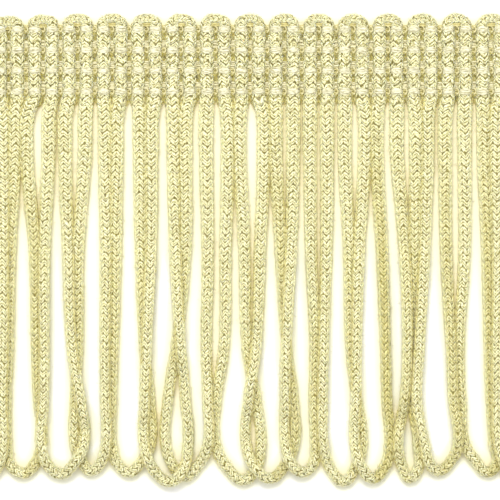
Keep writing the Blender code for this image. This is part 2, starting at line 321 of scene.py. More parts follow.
# Tints that are multiplied over the cord's colour: by filament, in specks and by stitch
STREAKS = ((0.42, (0.70, 0.66, 0.46)), (0.54, (1.0, 1.0, 1.0)))
STREAKS_SHOW = 0.45
SPECKS = ((0.35, (0.38, 0.35, 0.18)), (0.45, (1.0, 1.0, 1.0)))
SPECKS_SHOW = 0.6
SPECKS_SHOW_PRESSED = 0.2
STITCH_TINTS = ((0.0, (0.60, 0.56, 0.40)), (0.6, (1.0, 1.0, 1.0)))
STITCH_TINTS_SHOW = 0.3

# Painted light: a cord's side is painted brighter where it stands against the open table, for the light
# that the table throws back. Where it faces another cord, light comes through the yarn, as a faint glow
OPEN_SIDE_PAINTED_LIGHT = (0.97, 0.94, 0.54, 1)
OPEN_SIDE_LIGHT_SHOWS = 0.65
BETWEEN_LIGHT = ((0.0, (0, 0, 0)), (1.0, (0.08, 0.066, 0.022)))

# The chain thread's colours by filament: in the light, and with painted golden shade deep among the yarn
THREAD_SHADES = ((0.38, (0.42, 0.38, 0.19)), (0.56, (0.77, 0.74, 0.52)))
THREAD_PAINTED_DEEP_SHADE = ((0.3, (0.40, 0.34, 0.10)), (0.6, (0.64, 0.57, 0.24)))

# The table: painted shade, darker and warmer the less open it lies near the yarn, and a painted glow in
# narrow slits for the light through the yarn
TABLE_SIZE = 4.0
TABLE_REACH = 2.3 * MM
TABLE_PAINTED_SHADE = (
    (0.1, (0.87, 0.79, 0.53)),
    (0.4, (0.87, 0.82, 0.60)),
    (0.65, (0.86, 0.845, 0.67)),
    (0.85, (0.87, 0.865, 0.75)),
    (0.96, (0.90, 0.895, 0.83)),
    (1.0, (0.92, 0.917, 0.90)),
)
TABLE_LIGHT = ((0.0, (0.32, 0.28, 0.12)), (0.2, (0.18, 0.16, 0.07)), (0.4, (0.0, 0.0, 0.0)))

# The light: a white room, and a soft lamp above and beyond the heading
ROOM_STRENGTH = 1.05
LAMP_PLACE = (-0.09, 0.52, 0.9)
LAMP_SIZE = 0.45
LAMP_POWER = 8.3

# The camera's frame on the table
FRAME_SIDE = 110 * MM
LENS = 200.0
SENSOR = 36.0
IN_FOCUS_HEIGHT = 1.3 * MM
CLIP_START = 0.01


def smoothstep(share):
    return share * share * (3 - 2 * share)


def signed_power(values, power):
    return np.sign(values) * np.abs(values) ** power


def smooth_route(places):
    """Points about SPACING apart on a smooth curve through the places."""
    places = [np.array(place, float) for place in places]
    spans = [end - start for start, end in zip(places, places[1:])]
    units = [span / np.linalg.norm(span) for span in spans]
    ways = [units[0]]
    for before, after in zip(units, units[1:]):
        ways.append((before + after) / np.linalg.norm(before + after))
    ways.append(units[-1])
    route = []
    for index, span in enumerate(spans):
        reach = ROUNDNESS * np.linalg.norm(span)
        start, end = places[index], places[index + 1]
        leaves = start + reach * ways[index]
        arrives = end - reach * ways[index + 1]
        count = max(2, round(np.linalg.norm(span) / SPACING))
        t = (np.arange(count) / count)[:, None]
        route.append(
            (1 - t) ** 3 * start + 3 * t * (1 - t) ** 2 * leaves
            + 3 * t**2 * (1 - t) * arrives + t**3 * end
        )
    return np.vstack([*route, places[-1][None]])


def pair_middle(pair):
    return (pair - (PAIR_COUNT - 1) / 2) * PAIR_PITCH


def column_middle(pair, side):
    half = COLUMN_PITCH / 2
    return pair_middle(pair) + (half if side == "right" else -half)


def is_upper(pair, side):
    return PAIRS[pair].upper == side


def hanging_half_width(depth):
    """Half the cord's width this far below the heading: it leaves the heading flat, and rounds off."""
    flat = np.clip(1 - depth / FLAT_LENGTH, 0, 1)
    return CORD_RADIUS + (FLAT_HALF_WIDTH - CORD_RADIUS) * flat


def settled_places():
    """{(pair, side): x of the cord at each of DEPTHS}, moved together where a slit would stand open."""
    places = {}
    for pair in range(PAIR_COUNT):
        for side in ("left", "right"):
            places[pair, side] = pair_middle(pair) + np.array(getattr(PAIRS[pair], side)) * MM
    for index, depth in enumerate(DEPTHS):
        touch = 2 * hanging_half_width(depth) - PRESSED
        order = sorted(places, key=lambda key: places[key][index])
        for first, second in list(zip(order, order[1:])) * SETTLING_PASSES:
            slit = places[second][index] - places[first][index] - touch
            if 0 < slit < WIDEST_SLIT:
                places[first][index] += slit / 2
                places[second][index] -= slit / 2
    return places


SETTLED = settled_places()


def cord_plan(pair, side):
    """A hanging cord's places, from where it leaves the heading to its last one above the bottom loop."""
    column = column_middle(pair, side)
    places = SETTLED[pair, side]
    gathered = column + GATHERED * (places[0] - column)
    plan = [(column, EXIT_Y), (gathered, EXIT_Y - GATHER_DEPTH)]
    for place, depth in zip(places, DEPTHS):
        plan.append((place, EXIT_Y - depth))
    return plan


def end_line(pair, side):
    """The single cord at an end of the trim, down to where it is cut."""
    plan = cord_plan(pair, side)
    return smooth_route([*plan, (plan[-1][0], EXIT_Y - END_STRAND_DROP)])


def loop_lines(number):
    """The two halves of a bottom loop, each from the heading down to its lowest point."""
    loop = LOOPS[number]
    left, right = pair_middle(number), pair_middle(number + 1)
    low = EXIT_Y - loop.drop * MM
    down = cord_plan(number, "right") + [(left + loop.start * MM, low + SHOULDER_RISE)]
    up = cord_plan(number + 1, "left") + [(right + loop.end * MM, low + SHOULDER_RISE)]
    lowest = ((left + right) / 2 + loop.lowest * MM, low)
    line = smooth_route([*down, lowest, *up[::-1]])
    turn = int(np.argmin(line[:, 1]))
    return line[: turn + 1], line[turn:][::-1]


def hanging_lines():
    """{(pair, side): flat line from the heading down} of every hanging cord."""
    lines = {(0, "left"): end_line(0, "left")}
    for number in range(len(LOOPS)):
        down, up = loop_lines(number)
        lines[number, "right"] = down
        lines[number + 1, "left"] = up
    lines[PAIR_COUNT - 1, "right"] = end_line(PAIR_COUNT - 1, "right")
    return lines


def partner_of(pair, side):
    """The other half of a hanging cord's own bottom loop."""
    return (pair + 1, "left") if side == "right" else (pair - 1, "right")


def neighbours_of(key, lines):
    """Each other cord of this one's pair and of the pairs beside it: its line, and whether it lies on top.

    The line of the other half of the cord's own loop ends above the loop, where the two become one cord.
    """
    for other, line in lines.items():
        if other == key or abs(other[0] - key[0]) > 1:
            continue
        if other == partner_of(*key):
            line = line[line[:, 1] > EXIT_Y - DEPTHS[-1]]
        yield line, is_upper(*other)


def lifts_of(lines):
    """{(pair, side): heights along the line} of the cords that lie on others."""
    lifts = {}
    for key, line in lines.items():
        need = np.zeros(len(line))
        if is_upper(*key):
            for lower, on_top in neighbours_of(key, lines):
                if not on_top:
                    gap = np.linalg.norm(line[:, None, :] - lower[None, :, :], axis=2).min(axis=1)
                    need = np.maximum(need, np.sqrt(np.maximum(0, CONTACT**2 - gap**2)))
        lifts[key] = need
    return lifts


def eased(heights):
    """Heights that fall no faster than a bent cord does, smoothed."""
    heights = heights.copy()
    for index in range(1, len(heights)):
        heights[index] = max(heights[index], heights[index - 1] - SLOPE * SPACING)
    for index in reversed(range(len(heights) - 1)):
        heights[index] = max(heights[index], heights[index + 1] - SLOPE * SPACING)
    reach = int(EASING / SPACING)
    bell = np.hanning(2 * reach + 3)[1:-1]
    padded = np.pad(heights, reach, mode="edge")
    return np.convolve(padded, bell / bell.sum(), mode="valid")


def joined_heights(lifts):
    """The lifts of both halves of each bottom loop, eased as one."""
    heights = {}
    for end in ((0, "left"), (PAIR_COUNT - 1, "right")):
        heights[end] = eased(lifts[end])
    for number in range(len(LOOPS)):
        down, up = (number, "right"), (number + 1, "left")
        both = eased(np.concatenate([lifts[down], lifts[up][::-1]]))
        heights[down] = both[: len(lifts[down])]
        heights[up] = both[len(lifts[down]) :][::-1]
    return heights


# What lies round a cord at each of its points, as shares: covered by another cord, close to one on its
# left, close to one on its right, and the painted shade of a cord turned with more of its yarn in shade
Around = namedtuple("Around", "covered near_left near_right golden")


def surroundings_of(lines):
    """{(pair, side): the columns of Around along the line}."""
    surroundings = {}
    for key, line in lines.items():
        shares = np.zeros((len(line), len(Around._fields)))
        # Painted shade on whole cords turned with more of their yarn in shade
        shares[:, 3] = SHADED_CORDS.get(key, 0) * np.clip((EXIT_Y - line[:, 1]) / SHADED_CORD_DEPTH, 0, 1)
        for beside, on_top in neighbours_of(key, lines):
            apart = np.linalg.norm(line[:, None, :] - beside[None, :, :], axis=2)
            nearest = apart.argmin(axis=1)
            gap = apart.min(axis=1)
            if on_top and not is_upper(*key):
                covered = np.clip((COVER_REACH - gap) / (COVER_FADE * COVER_REACH), 0, 1)
                shares[:, 0] = np.maximum(shares[:, 0], covered)
            close = np.clip((BESIDE_REACH - gap) / (BESIDE_FADE * BESIDE_REACH), 0, 1)
            on_right = beside[nearest, 0] > line[:, 0]
            shares[:, 1] = np.maximum(shares[:, 1], close * ~on_right)
            shares[:, 2] = np.maximum(shares[:, 2], close * on_right)
        surroundings[key] = shares
    return surroundings


# One stretch of the cord: its points, the columns of Around, and how many courses of stitches it has
Stretch = namedtuple("Stretch", "points around courses")


def column_line(pair, side):
    """A heading's column, from where the cord leaves it up to the first row of chain stitch."""
    count = round((ROW_YS[0] - EXIT_Y) / SPACING)
    line = np.zeros((count, 3))
    line[:, 0] = column_middle(pair, side)
    line[:, 1] = np.linspace(EXIT_Y, ROW_YS[0], count)
    line[:, 2] = HEADING_HEIGHT
    return line


def top_line(pair):
    """A top loop, from its left column over to its right one."""
    angles = np.linspace(math.pi, 0, TOP_STEPS)
    line = np.zeros((TOP_STEPS, 3))
    rise = TOP_RISE - LOWERED_TOPS.get(pair, 0)
    over = np.abs(np.sin(angles))
    aside = signed_power(np.cos(angles), TOP_SQUARENESS)
    line[:, 0] = pair_middle(pair) + COLUMN_PITCH / 2 * aside * (1 + TOP_BULGE * over)
    line[:, 1] = ROW_YS[0] + rise * over**TOP_SQUARENESS
    line[:, 2] = HEADING_HEIGHT
    return line


def heading_stretch(line, courses):
    return Stretch(line, np.zeros((len(line), len(Around._fields))), courses)


def hanging_stretch(cord):
    """A stretch of hanging cord, given as an array whose columns are its points and those of Around."""
    points = cord[:, :3]
    length = np.linalg.norm(np.diff(points, axis=0), axis=1).sum()
    return Stretch(points, cord[:, 3:], round(length / COURSE))


def cord_stretches():
    """The whole cord in order, from the left end strand to the right one."""
    lines = hanging_lines()
    heights = joined_heights(lifts_of(lines))
    around = surroundings_of(lines)
    hanging = {}
    for key, line in lines.items():
        hanging[key] = np.column_stack([line, CORD_RADIUS + heights[key], around[key]])
    stretches = [hanging_stretch(hanging[0, "left"][::-1])]
    for pair in range(PAIR_COUNT):
        stretches.append(heading_stretch(column_line(pair, "left"), COLUMN_COURSES))
        stretches.append(heading_stretch(top_line(pair), TOP_COURSES))
        stretches.append(heading_stretch(column_line(pair, "right")[::-1], COLUMN_COURSES))
        cord = hanging[pair, "right"]
        if pair < PAIR_COUNT - 1:
            cord = np.vstack([cord[:-1], hanging[pair + 1, "left"][::-1]])
        stretches.append(hanging_stretch(cord))
    return stretches


def joined_stretches():
    """The whole cord's points, the course of stitches at each, and the columns of Around."""
    points, courses, around = [], [], []
    done = 0
    for stretch in cord_stretches():
        run = np.linalg.norm(np.diff(stretch.points, axis=0), axis=1)
        share = np.concatenate([[0], np.cumsum(run)]) / run.sum()
        points.append(stretch.points[:-1])
        around.append(stretch.around[:-1])
        courses.append(done + share[:-1] * stretch.courses)
        done += stretch.courses
    points.append(stretch.points[-1:])
    around.append(stretch.around[-1:])
    courses.append(np.array([float(done)]))
    return np.vstack(points), np.concatenate(courses), np.vstack(around)


def frames_of(points):
    """Unit vectors across the cord and up from it."""
    along = np.gradient(points, axis=0)
    along /= np.linalg.norm(along, axis=1)[:, None]
    up = np.array([0.0, 0.0, 1.0]) - along * along[:, 2:3]
    up /= np.linalg.norm(up, axis=1)[:, None]
    return np.cross(along, up), up


def turns_of(courses, draw):
    """How far the cord is turned about its own line, as a random walk."""
    knots = np.arange(0, courses[-1] + 2 * TURN_COURSES, TURN_COURSES)
    values = np.cumsum(draw.normal(0, TURN_STEP, len(knots)))
    return np.interp(courses, knots, values)


# The cord at each of its points: its place, the ways across it and up from it, its half width and half
# height, how much wider its back is, how far it is over a top loop, turned and within the heading, and
# the values of Around
Track = namedtuple("Track", (
    "points", "across", "up", "width", "height", "spread", "past_top", "turn", "in_heading", *Around._fields
))


def cord_track(draw):
    """The course of stitches at each point along the whole cord, and the cord's Track."""
    points, courses, around = joined_stretches()
    across, up = frames_of(points)
    ys = points[:, 1]
    from_row = np.min([np.abs(ys - row) for row in ROW_YS], axis=0)
    pinch = np.exp(-((from_row / PINCH_REACH) ** 2))
    hanging = hanging_half_width(EXIT_Y - ys)
    in_heading = smoothstep(np.clip((ys - EXIT_Y + FLARE) / FLARE, 0, 1))
    past_top = np.clip((ys - ROW_YS[0]) / (TOP_NARROWING * TOP_RISE), 0, 1) ** 2
    width = BLOCK_HALF_WIDTH + (PINCH_HALF_WIDTH - BLOCK_HALF_WIDTH) * np.maximum(pinch, past_top)
    width = width + (TOP_HALF_WIDTH - width) * past_top
    width = hanging + (width - hanging) * in_heading
    height = BLOCK_HALF_HEIGHT + (PINCH_HALF_HEIGHT - BLOCK_HALF_HEIGHT) * pinch
    height = CORD_RADIUS + (height - CORD_RADIUS) * in_heading
    spread = (BACK_HALF_WIDTH - width) * in_heading
    turn = turns_of(courses, draw)
    return courses, Track(points, across, up, width, height, spread, past_top, turn, in_heading, *around.T)


def track_at(track, courses, wanted):
    """The Track at these courses of stitches, which are an array of any shape."""
    values = []
    for field in track:
        if field.ndim == 1:
            values.append(np.interp(wanted, courses, field))
        else:
            values.append(np.stack([np.interp(wanted, courses, part) for part in field.T], axis=-1))
    return Track(*values)


# The rows and columns of the cord's mesh: each row's course of stitches, and each column's arm of a V
# and its share of the way across that arm
Grid = namedtuple("Grid", "row phase column arm share")


def stitch_grid(whole):
    """The Grid over this many courses of stitches."""
    row = np.arange(COURSE_ROWS * whole)
    phase = np.array(ROW_PHASES)[row % COURSE_ROWS] + row // COURSE_ROWS
    column = np.arange(ARMS * ARM_COLUMNS)
    return Grid(row, phase, column, column // ARM_COLUMNS, (column % ARM_COLUMNS) / ARM_COLUMNS)


def by_stitch(grid, values):
    """Values by stitch, spread over the mesh: shared where two stitches meet, none between courses."""
    spread = values[grid.row // COURSE_ROWS][:, grid.arm]
    beside = np.roll(spread, ARM_COLUMNS, axis=1)
    spread = np.where(grid.share == 0, (spread + beside) / 2, spread)
    return spread * (grid.row % COURSE_ROWS != 0)[:, None]


def yarn_places(here, angle, rise):
    """Where the mesh lies, how much the cord is pressed there, and the share of its half width across."""
    boxed = HANGING_BOXINESS + (BOXINESS - HANGING_BOXINESS) * here.in_heading
    out = signed_power(np.cos(angle), boxed)
    lift = signed_power(np.sin(angle), boxed)
    towards_back = smoothstep(np.clip(-np.sin(angle) / BACK_FADE, 0, 1))
    spread = here.spread * np.where(out > 0, 1, np.clip(1 - 2 * np.sqrt(here.past_top), 0, 1))
    pressed = towards_back * spread / (BACK_HALF_WIDTH - BLOCK_HALF_WIDTH)
    inset = GROOVE * (1 - rise) * (1 - PRESSED_GROOVE * np.clip(pressed, 0, 1))
    reach = here.width + spread * towards_back - inset
    place = (
        here.points
        + (reach * out)[:, :, None] * here.across
        + ((here.height - inset) * lift)[:, :, None] * here.up
    )
    place[:, :, 2] = np.maximum(place[:, :, 2], LOWEST_YARN)
    return place, pressed, out


def yarn_shares(here, angle, rise, pressed, out):
    """{name: share at each point of the mesh}, which the cord's material reads."""
    # Painted golden shade low on the sides, facing other cords, under a covering cord and on shaded cords
    flank = np.clip((FLANK - np.sin(angle)) / FLANK_FADE, 0, 1) * np.where(out > 0, 1, 1 - here.past_top)
    flank = flank * np.clip(FLANK_START * here.in_heading, 0, 1)
    aside = out * here.across[:, :, 0]
    near = np.where(aside > 0, here.near_right, here.near_left)
    facing = np.clip((np.abs(aside) - FACING) / FACING_FADE, 0, 1)
    between = facing * near
    between_painted_shade = FACING_PAINTED_SHADE * between
    towards_cover = near * np.clip(np.abs(aside) / COVERED_ASIDE, 0, 1)
    covered = here.covered * (COVERED_FAR_SIDE + (1 - COVERED_FAR_SIDE) * towards_cover)
    over_top = SMOOTH_TOP * np.sqrt(here.past_top) * out
    smooth = np.max([SMOOTH_PRESSED * pressed, over_top, SMOOTH_BETWEEN * between_painted_shade], axis=0)
    # Painted shade in grooves and deep yarn, painted light on sides open to the table, and a glow between
    # cords
    return {
        "groove_shade": 1 - rise + here.golden,
        "gold": np.max([flank, between_painted_shade, COVERED_PAINTED_SHADE * covered, here.golden], axis=0),
        "smooth": np.clip(smooth, 0, 1),
        "heading": here.in_heading,
        "edge": facing * (1 - near) * (1 - here.in_heading),
        "between": between,
    }


def piece_cuts(courses, points):
    """The courses at which the cord is cut into pieces, each under a row of chain stitch."""
    under = np.flatnonzero(np.abs(points[:, 1] - ROW_YS[1]) < SPACING)
    cuts = [0]
    for piece in range(1, PIECES):
        wanted = courses[-1] * piece / PIECES
        nearest = under[np.argmin(np.abs(courses[under] - wanted))]
        cuts.append(round(courses[nearest]))
    return [*cuts, int(courses[-1])]


def knitted_pieces():
    """The cord as meshes: their rows of points follow the V of the stitches, and rise inside each arm."""
    draw = np.random.default_rng(SEED)
    courses, track = cord_track(draw)
    whole = int(courses[-1])
    grid = stitch_grid(whole)
    zigzag = np.where(grid.arm % 2 == 0, grid.share, 1 - grid.share) - 0.5
    uneven = 1 + np.interp(np.arange(whole), courses, track.in_heading)[:, None]
    shifts = by_stitch(grid, uneven * draw.normal(0, STITCH_SHIFT, (whole, ARMS)))
    swells = by_stitch(grid, uneven * draw.normal(0, STITCH_SWELLING, (whole, ARMS)))

    at = np.clip(grid.phase[:, None] + RISE * zigzag[None, :] + shifts, 0, whole)
    rise = ARM_HEIGHTS[(grid.row % COURSE_ROWS)[:, None], (grid.column % ARM_COLUMNS)[None, :]]
    rise = rise * (1 + swells)
    here = track_at(track, courses, at)
    angle = 2 * math.pi * grid.column[None, :] / len(grid.column) + here.turn
    place, pressed, out = yarn_places(here, angle, rise)
    shares = yarn_shares(here, angle, rise, pressed, out)

    material = cord_material()
    add_fuzz(courses, track, material)
    cuts = piece_cuts(courses, track.points)
    for number, (start, end) in enumerate(zip(cuts, cuts[1:])):
        name = f"knitted_cord_{number + 1}"
        rows = slice(COURSE_ROWS * start, min(COURSE_ROWS * end + 1, len(grid.row)))
        piece_shares = {share_name: values[rows] for share_name, values in shares.items()}
        piece = tube_mesh(name, place[rows], grid.phase[rows], piece_shares, material)
        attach(piece, BODY)
        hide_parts("fringe")


def add_fuzz(courses, track, material):
    """Fine filaments that stand off the cord."""
    draw = np.random.default_rng(FUZZ_SEED)
    for piece_number in range(FUZZ_PIECES):
        count = FUZZ_COUNT // FUZZ_PIECES
        here = track_at(track, courses, draw.uniform(1, courses[-1] - 1, count))
        side, top = here.across, here.up
        along = np.cross(top, side)
        angle = draw.normal(FUZZ_ANGLE, FUZZ_ANGLE_SPREAD, count)
        angle = np.where(draw.random(count) < 0.5, angle, math.pi - angle)[:, None]
        outward = np.cos(angle) * side + np.sin(angle) * top
        across = -np.sin(angle) * side + np.cos(angle) * top
        root = (
            here.points
            + FUZZ_ROOT * here.width[:, None] * np.cos(angle) * side
            + FUZZ_ROOT * here.height[:, None] * np.sin(angle) * top
        )
        heading = draw.uniform(0, 2 * math.pi, count)[:, None]
        way = np.cos(heading) * along + np.sin(heading) * across
        length = draw.uniform(*FUZZ_LENGTHS, count)[:, None] * MM
        stand = np.clip(draw.exponential(FUZZ_STAND, count), *FUZZ_STANDS)[:, None]
        stand = stand * MM + FUZZ_CLEARANCE * MM
        bend = draw.normal(0, FUZZ_BEND, (count, 1)) * length
        cross = np.cross(way, outward)
        tip = draw.uniform(*FUZZ_TIPS, count)[:, None]
        lines = [root]
        for off, forth, aside in (*FUZZ_POINTS, (tip, 1.0, FUZZ_TIP_BEND)):
            lines.append(root + off * stand * outward + forth * length * way + aside * bend * cross)
        lines = np.stack(lines, axis=1)
        lines[:, :, 2] = np.maximum(lines[:, :, 2], LOWEST_FUZZ)

        name = f"stray_filaments_{piece_number + 1}"
        mesh = mesh_of(name, *tubes(lines, FUZZ_RADIUS, FUZZ_SIDES))
        # A little painted groove shade on the filaments
        set_share(mesh, "groove_shade", np.full(len(mesh.vertices), FUZZ_GROOVE_SHADE))
        set_share(mesh, "smooth", np.ones(len(mesh.vertices)))
        piece = shown(name, mesh, material)
        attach(piece, BODY)
        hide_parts("fringe")


def tube_mesh(name, place, phase, shares, material):
    """A closed tube through the rows of points, with its stitches' own coordinates and its shares."""
    rows, columns = place.shape[:2]
    ends = np.array([place[0].mean(axis=0), place[-1].mean(axis=0)])
    verts = np.vstack([place.reshape(-1, 3), ends])
    r, c = np.meshgrid(np.arange(rows - 1), np.arange(columns), indexing="ij")
    r, c = r.ravel(), c.ravel()
    right = (c + 1) % columns
    quads = np.column_stack(
        [r * columns + c, r * columns + right, (r + 1) * columns + right, (r + 1) * columns + c]
    )
    ring = np.arange(columns)
    beyond = (ring + 1) % columns
    last = (rows - 1) * columns
    first_cap = np.column_stack([beyond, ring, np.full(columns, rows * columns)])
    last_cap = np.column_stack([last + ring, last + beyond, np.full(columns, rows * columns + 1)])
    mesh = mesh_of(name, verts, quads, np.vstack([first_cap, last_cap]))
    for share_name, values in shares.items():
        at_ends = [END_SHARES[share_name]] * len(ends)
        set_share(mesh, share_name, np.concatenate([values.ravel(), at_ends]))

    around = np.column_stack([c, c + 1, c + 1, c]) * ARMS / columns
    along = np.column_stack([phase[r], phase[r], phase[r + 1], phase[r + 1]])
    quad_uv = np.stack([around, along], axis=2).reshape(-1, 2)
    cap_uv = np.zeros((6 * columns, 2))
    uv = np.vstack([quad_uv, cap_uv]).astype(np.float32)
    mesh.uv_layers.new(name="stitches").data.foreach_set("uv", uv.ravel())
    return shown(name, mesh, material)


def tubes(lines, radii, sides):
    """Corner points, four-sided and three-sided faces of closed round tubes along equally long lines."""
    lines = np.asarray(lines, float)
    count, steps = lines.shape[:2]
    along = np.gradient(lines, axis=1)
    along /= np.linalg.norm(along, axis=2, keepdims=True)
    up = np.array([0.0, 0.0, 1.0]) - along * along[..., 2:3]
    up /= np.linalg.norm(up, axis=2, keepdims=True) + 1e-9
    side = np.cross(along, up)
    angle = 2 * math.pi * np.arange(sides) / sides
    radii = np.broadcast_to(radii, (count, steps))[..., None, None]
    rings = lines[:, :, None] + radii * (
        np.cos(angle)[:, None] * side[:, :, None] + np.sin(angle)[:, None] * up[:, :, None]
    )
    n, r, c = np.meshgrid(np.arange(count), np.arange(steps - 1), np.arange(sides), indexing="ij")
    start = ((n * steps + r) * sides).ravel()
    c = c.ravel()
    right = (c + 1) % sides
    quads = np.column_stack([start + c, start + right, start + sides + right, start + sides + c])
    first = (np.arange(count) * steps * sides)[:, None]
    last = first + (steps - 1) * sides
    caps = []
    for corner in range(1, sides - 1):
        caps.append(np.hstack([first + corner + 1, first + corner, first]))
        caps.append(np.hstack([last, last + corner, last + corner + 1]))
    return rings.reshape(-1, 3), quads, np.vstack(caps)


def joined(parts):
    """Several results of tubes() as one."""
    verts, quads, caps = [], [], []
    done = 0
    for some_verts, some_quads, some_caps in parts:
        verts.append(some_verts)
        quads.append(some_quads + done)
        caps.append(some_caps + done)
        done += len(some_verts)
    return np.vstack(verts), np.vstack(quads), np.vstack(caps)


def mesh_of(name, verts, quads, triangles):
    """A smooth mesh of four-sided faces, followed by triangles."""
    mesh = bpy.data.meshes.new(name)
    corners = np.concatenate([quads.ravel(), triangles.ravel()]).astype(np.int32)
    starts = np.concatenate(
        [4 * np.arange(len(quads)), 4 * len(quads) + 3 * np.arange(len(triangles))]
    ).astype(np.int32)
    mesh.vertices.add(len(verts))
    mesh.vertices.foreach_set("co", verts.astype(np.float32).ravel())
    mesh.loops.add(len(corners))
    mesh.loops.foreach_set("vertex_index", corners)
    mesh.polygons.add(len(starts))
    mesh.polygons.foreach_set("loop_start", starts)
    mesh.update(calc_edges=True)
    mesh.validate()
    mesh.shade_smooth()
    return mesh


def set_share(mesh, name, values):
    """Gives each of the mesh's points a number, which its material reads by this name."""
    share = mesh.attributes.new(name, "FLOAT", "POINT")
    share.data.foreach_set("value", values.astype(np.float32))


def shown(name, mesh, material):
    mesh.materials.append(material)
    piece = bpy.data.objects.new(name, mesh)
    bpy.context.scene.collection.objects.link(piece)
    return piece


def pad_plies(draw, row):
    """The plies of a row of chain stitch: spread and raised over each column, gathered between columns."""
    columns = 2 * PAIR_COUNT
    place = np.arange(columns * PLY_STEPS + 1) / PLY_STEPS
    x = (place - columns / 2) * COLUMN_PITCH
    over = (1 - np.cos(2 * math.pi * place)) / 2
    on_cord = smoothstep(np.clip((over - PAD_START) / PAD_SHOULDER, 0, 1))
    half_columns = np.arange(2 * columns + 1) / 2
    lines, radii = [], []
    for ply in np.arange(PLY_COUNT) - (PLY_COUNT - 1) / 2:
        wander = np.interp(place, half_columns, draw.normal(0, PLY_WANDER, len(half_columns)))
        ys = row + ply * PLY_SPREAD * (PLY_GATHERED + (1 - PLY_GATHERED) * over) + wander
        loose = np.interp(place, np.arange(columns + 1), draw.normal(0, PLY_LOOSENESS, columns + 1))
        zs = PLY_LOW + (PAD_TOP + loose - PLY_LOW) * on_cord - PLY_ARCH * ply * ply
        lines.append(np.column_stack([x, ys, zs]))
        radii.append(PLY_RADIUS * (PLY_THIN + PLY_SWELLING * over))
    return tubes(lines, np.array(radii), THREAD_SIDES)


def thread_line(xs, y, z):
    """A thread along the trim; y and z are numbers, or arrays where they change along it."""
    return np.column_stack([xs, np.broadcast_to(y, xs.shape), np.broadcast_to(z, xs.shape)])


def link_line(gap, row):
    """The small link in a gap between two columns, counted from the left."""
    middle = (gap - PAIR_COUNT) * COLUMN_PITCH
    angle = np.linspace(-LINK_TURN, LINK_TURN, LINK_STEPS)
    xs = middle + LINK_WIDTH * np.cos(angle)
    return thread_line(xs, row + LINK_LENGTH * np.sin(angle), LINK_HEIGHT)


def arch_fill_lines(row):
    """The short threads that show under each top loop."""
    lines = []
    for pair in range(PAIR_COUNT):
        xs = pair_middle(pair) + ARCH_FILL_HALF_WIDTH * np.array([-1.0, 0.0, 1.0])
        for rise in ARCH_FILLS:
            lines.append(thread_line(xs, row + rise - LOWERED_TOPS.get(pair, 0), ARCH_FILL_HEIGHT))
    return lines


def chain_threads(number, material):
    """One row of chain stitch: its pads and links, and the threads behind it, below it and above it."""
    draw = np.random.default_rng(SEED + number)
    top_row = number == 0
    row = ROW_YS[number] - PAD_DROP
    place = np.arange(2 * PAIR_COUNT * BACK_STEPS + 1) / BACK_STEPS
    xs = (place - PAIR_COUNT) * COLUMN_PITCH

    # The threads behind and between rows wave a little, out of step with each other
    back_count = BACK_COUNT + 1 if top_row else BACK_COUNT
    backs = []
    for ply in np.arange(back_count) - (back_count - 1) / 2:
        ys = row + ply * BACK_SPREAD + BACK_WAVE * np.sin(9 * place + 2 * ply)
        backs.append(thread_line(xs, ys, BACK_HEIGHT))
    links = [link_line(gap, row) for gap in range(1, 2 * PAIR_COUNT)]
    fill_rises = FILLS + TOP_FILLS if top_row else FILLS
    fills = [thread_line(xs, row + rise, FILL_HEIGHT) for rise in fill_rises]
    parts = [
        (PLY_PAINTED_SHADE, pad_plies(draw, row)),
        (FULL_PAINTED_SHADE, tubes(backs, BACK_RADIUS, THREAD_SIDES)),
        (LINK_PAINTED_SHADE, tubes(links, LINK_RADIUS, THREAD_SIDES)),
        (FULL_PAINTED_SHADE, tubes(fills, FILL_RADIUS, THREAD_SIDES)),
    ]
    if top_row:
        parts.append((FULL_PAINTED_SHADE, tubes(arch_fill_lines(row), FILL_RADIUS, THREAD_SIDES)))
    else:
        bridges = []
        for rise in BRIDGES:
            ys = row + rise + BRIDGE_WAVE * np.sin(5 * place + 40 * rise / MM)
            zs = BRIDGE_HEIGHT + BRIDGE_RIPPLE * np.sin(3 * place + 9 * rise / MM)
            bridges.append(thread_line(xs, ys, zs))
        parts.append((BRIDGE_PAINTED_SHADE, tubes(bridges, BRIDGE_RADIUS, THREAD_SIDES)))

    mesh = mesh_of(f"chain_threads_{number + 1}", *joined([part for _, part in parts]))
    # Painted golden shade, by how deep each kind of thread lies
    set_share(mesh, "gold", np.concatenate([np.full(len(part[0]), share) for share, part in parts]))
    piece = shown(mesh.name, mesh, material)
    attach(piece, BODY)
    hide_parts(ROW_NAMES[number])


def new_material(name):
    """A material, its node tree and its shader."""
    material = bpy.data.materials.new(name)
    material.use_nodes = True
    return material, material.node_tree, material.node_tree.nodes["Principled BSDF"]


def set_inputs(made, **inputs):
    """Sets a node's inputs, each named with _ for a space."""
    for key, value in inputs.items():
        made.inputs[key.replace("_", " ")].default_value = value


def node(tree, kind, **inputs):
    made = tree.nodes.new(kind)
    set_inputs(made, **inputs)
    return made


def share_of(tree, name):
    """What set_share() gave the mesh by this name, or 0 where it gave nothing."""
    made = tree.nodes.new("ShaderNodeAttribute")
    made.attribute_name = name
    return made.outputs["Fac"]


def math_of(tree, operation, *values):
    """The output of a math node over sockets or plain numbers."""
    made = tree.nodes.new("ShaderNodeMath")
    made.operation = operation
    for slot, value in zip(made.inputs, values):
        if isinstance(value, (int, float)):
            slot.default_value = value
        else:
            tree.links.new(value, slot)
    return made.outputs["Value"]


def faded(tree, value, full, none):
    """1 where the value is at most full, 0 where it is at least none, and smooth between them."""
    made = node(tree, "ShaderNodeMapRange", From_Min=full, From_Max=none, To_Min=1, To_Max=0)
    made.interpolation_type = "SMOOTHSTEP"
    tree.links.new(value, made.inputs["Value"])
    return made.outputs["Result"]


